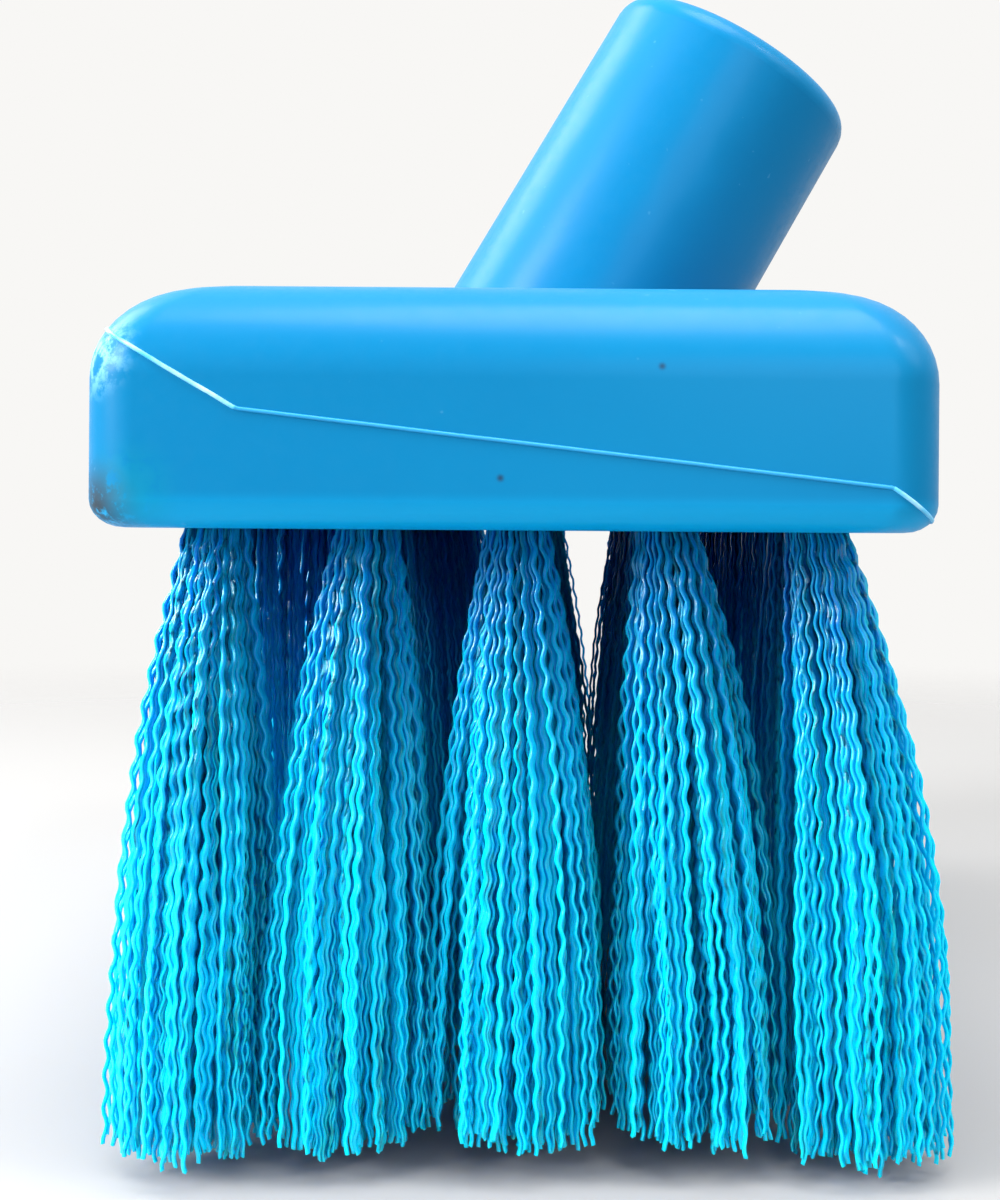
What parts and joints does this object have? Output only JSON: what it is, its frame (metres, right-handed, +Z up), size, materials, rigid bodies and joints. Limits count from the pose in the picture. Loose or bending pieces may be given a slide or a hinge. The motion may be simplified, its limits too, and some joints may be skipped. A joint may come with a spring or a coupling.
{
  "type": "pool wall brush head",
  "caption": "Pool wall brush head: a rounded plastic block with a leaning pole socket and rows of long crimped bristle tufts below it.",
  "frame": {"origin": "centre of the middle tuft's tips, on the surface that the bristles rest on", "axes": "+X across the block, the way the pole socket leans; +Y along the block; +Z up, from the bristle tips to the block's top"},
  "size_m": [0.078, 0.16, 0.127],
  "materials": {
    "block_plastic": "satin moulded polypropylene, bright cyan blue",
    "bristle_filament": "crimped nylon filament, bright cyan blue, slightly translucent",
    "anchor_metal": "bright flat stainless wire"
  },
  "bodies": {
    "root": {"brush_block": "block_plastic", "staple_anchors": "anchor_metal", "tuft_r01_c1": "bristle_filament", "tuft_r01_c2": "bristle_filament", "tuft_r01_c3": "bristle_filament", "tuft_r01_c4": "bristle_filament", "tuft_r01_c5": "bristle_filament", "tuft_r02_c1": "bristle_filament", "tuft_r02_c2": "bristle_filament", "tuft_r02_c3": "bristle_filament", "tuft_r02_c4": "bristle_filament", "tuft_r02_c5": "bristle_filament", "tuft_r03_c1": "bristle_filament", "tuft_r03_c2": "bristle_filament", "tuft_r03_c3": "bristle_filament", "tuft_r03_c4": "bristle_filament", "tuft_r03_c5": "bristle_filament", "tuft_r04_c1": "bristle_filament", "tuft_r04_c2": "bristle_filament", "tuft_r04_c3": "bristle_filament", "tuft_r04_c4": "bristle_filament", "tuft_r04_c5": "bristle_filament", "tuft_r05_c1": "bristle_filament", "tuft_r05_c2": "bristle_filament", "tuft_r05_c3": "bristle_filament", "tuft_r05_c4": "bristle_filament", "tuft_r05_c5": "bristle_filament", "tuft_r06_c1": "bristle_filament", "tuft_r06_c2": "bristle_filament", "tuft_r06_c3": "bristle_filament", "tuft_r06_c4": "bristle_filament", "tuft_r06_c5": "bristle_filament", "tuft_r07_c1": "bristle_filament", "tuft_r07_c2": "bristle_filament", "tuft_r07_c3": "bristle_filament", "tuft_r07_c4": "bristle_filament", "tuft_r07_c5": "bristle_filament", "tuft_r08_c1": "bristle_filament", "tuft_r08_c2": "bristle_filament", "tuft_r08_c3": "bristle_filament", "tuft_r08_c4": "bristle_filament", "tuft_r08_c5": "bristle_filament", "tuft_r09_c1": "bristle_filament", "tuft_r09_c2": "bristle_filament", "tuft_r09_c3": "bristle_filament", "tuft_r09_c4": "bristle_filament", "tuft_r09_c5": "bristle_filament", "tuft_r10_c1": "bristle_filament", "tuft_r10_c2": "bristle_filament", "tuft_r10_c3": "bristle_filament", "tuft_r10_c4": "bristle_filament", "tuft_r10_c5": "bristle_filament", "tuft_r11_c1": "bristle_filament", "tuft_r11_c2": "bristle_filament", "tuft_r11_c3": "bristle_filament", "tuft_r11_c4": "bristle_filament", "tuft_r11_c5": "bristle_filament"}
  },
  "joints": []
}
